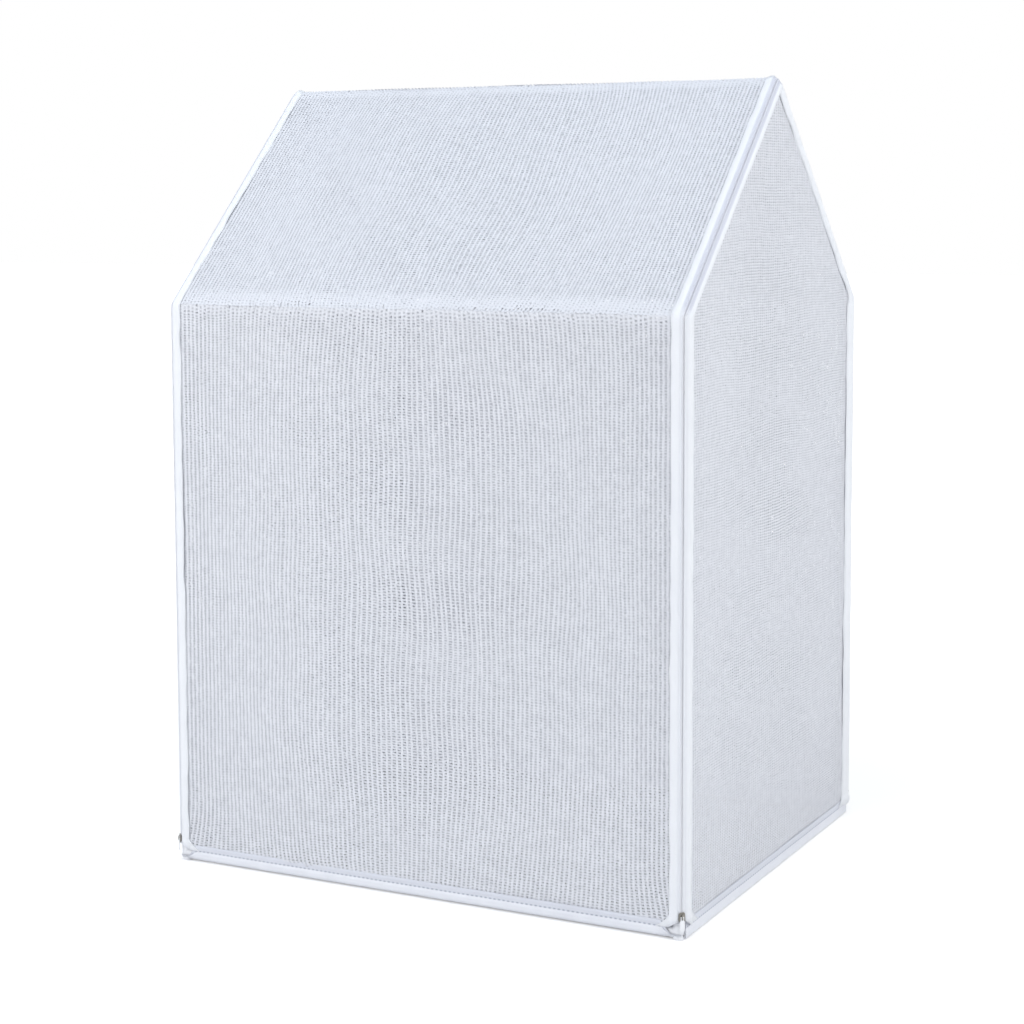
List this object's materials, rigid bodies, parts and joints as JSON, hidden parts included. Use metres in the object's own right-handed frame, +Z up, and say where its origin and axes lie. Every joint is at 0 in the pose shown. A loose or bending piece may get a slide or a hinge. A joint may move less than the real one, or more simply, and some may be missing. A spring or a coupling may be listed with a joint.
{
  "type": "mini greenhouse",
  "caption": "Small gable-roofed plant house: slim tube frame in moulded corner joints under a knitted net cover, with zipped net doors at both ends.",
  "frame": {"origin": "on the ground under the middle of the frame", "axes": "+Z up; X along the ridge, with the two zipped ends at -X and +X; the front wall faces -Y"},
  "size_m": [1.0082, 0.8582, 1.4241],
  "materials": {
    "painted_steel": "satin",
    "moulded_white": "satin",
    "knitted_net": "matte",
    "hem_fabric": "matte",
    "zip_tape": "matte",
    "dark_zinc": "satin",
    "white_pull": "satin"
  },
  "bodies": {
    "root": {"base_rail_front": "painted_steel", "base_rail_back": "painted_steel", "eave_rail_front": "painted_steel", "eave_rail_back": "painted_steel", "base_rail_left": "painted_steel", "base_rail_right": "painted_steel", "ridge_rail": "painted_steel", "ridge_joint_left": "moulded_white", "gable_net_left": "knitted_net", "post_front_left": "painted_steel", "rafter_front_left": "painted_steel", "base_corner_front_left": "moulded_white", "eave_joint_front_left": "moulded_white", "zip_cover_front_left": "zip_tape", "zip_gable_front_left": "zip_tape", "post_back_left": "painted_steel", "rafter_back_left": "painted_steel", "base_corner_back_left": "moulded_white", "eave_joint_back_left": "moulded_white", "zip_cover_back_left": "zip_tape", "zip_gable_back_left": "zip_tape", "ridge_joint_right": "moulded_white", "gable_net_right": "knitted_net", "post_front_right": "painted_steel", "rafter_front_right": "painted_steel", "base_corner_front_right": "moulded_white", "eave_joint_front_right": "moulded_white", "zip_cover_front_right": "zip_tape", "zip_gable_front_right": "zip_tape", "post_back_right": "painted_steel", "rafter_back_right": "painted_steel", "base_corner_back_right": "moulded_white", "eave_joint_back_right": "moulded_white", "zip_cover_back_right": "zip_tape", "zip_gable_back_right": "zip_tape", "wall_net_front": "knitted_net", "roof_net_front": "knitted_net", "hem_sleeve_front": "hem_fabric", "wall_net_back": "knitted_net", "roof_net_back": "knitted_net", "hem_sleeve_back": "hem_fabric"},
    "door_left": {"door_net_left": "knitted_net", "door_hem_left": "hem_fabric", "zip_door_front_left": "zip_tape", "zip_door_back_left": "zip_tape"},
    "door_right": {"door_net_right": "knitted_net", "door_hem_right": "hem_fabric", "zip_door_front_right": "zip_tape", "zip_door_back_right": "zip_tape"},
    "slider_front_left": {"zip_slider_front_left": "dark_zinc"},
    "pull_front_left": {"zip_pull_front_left": "white_pull"},
    "slider_back_left": {"zip_slider_back_left": "dark_zinc"},
    "pull_back_left": {"zip_pull_back_left": "white_pull"},
    "slider_front_right": {"zip_slider_front_right": "dark_zinc"},
    "pull_front_right": {"zip_pull_front_right": "white_pull"},
    "slider_back_right": {"zip_slider_back_right": "dark_zinc"},
    "pull_back_right": {"zip_pull_back_right": "white_pull"}
  },
  "joints": [
    {"name": "door_left_lift", "type": "hinge", "parent": "root", "child": "door_left", "pos_m": [-0.50409, 0, 0.96], "axis": [0, 1, 0], "range_deg": [0, 90]},
    {"name": "door_right_lift", "type": "hinge", "parent": "root", "child": "door_right", "pos_m": [0.50409, 0, 0.96], "axis": [0, -1, 0], "range_deg": [0, 90]},
    {"name": "slider_front_left_slide", "type": "slide", "parent": "root", "child": "slider_front_left", "axis": [0, 0, 1], "range_m": [0, 0.945]},
    {"name": "pull_front_left_swing", "type": "hinge", "parent": "slider_front_left", "child": "pull_front_left", "pos_m": [-0.50037, -0.42537, 0.041], "axis": [-0.7071, 0.7071, 0], "range_deg": [0, 150]},
    {"name": "slider_back_left_slide", "type": "slide", "parent": "root", "child": "slider_back_left", "axis": [0, 0, 1], "range_m": [0, 0.945]},
    {"name": "pull_back_left_swing", "type": "hinge", "parent": "slider_back_left", "child": "pull_back_left", "pos_m": [-0.50037, 0.42537, 0.041], "axis": [0.7071, 0.7071, 0], "range_deg": [0, 150]},
    {"name": "slider_front_right_slide", "type": "slide", "parent": "root", "child": "slider_front_right", "axis": [0, 0, 1], "range_m": [0, 0.945]},
    {"name": "pull_front_right_swing", "type": "hinge", "parent": "slider_front_right", "child": "pull_front_right", "pos_m": [0.50037, -0.42537, 0.041], "axis": [-0.7071, -0.7071, 0], "range_deg": [0, 150]},
    {"name": "slider_back_right_slide", "type": "slide", "parent": "root", "child": "slider_back_right", "axis": [0, 0, 1], "range_m": [0, 0.945]},
    {"name": "pull_back_right_swing", "type": "hinge", "parent": "slider_back_right", "child": "pull_back_right", "pos_m": [0.50037, 0.42537, 0.041], "axis": [0.7071, -0.7071, 0], "range_deg": [0, 150]}
  ]
}
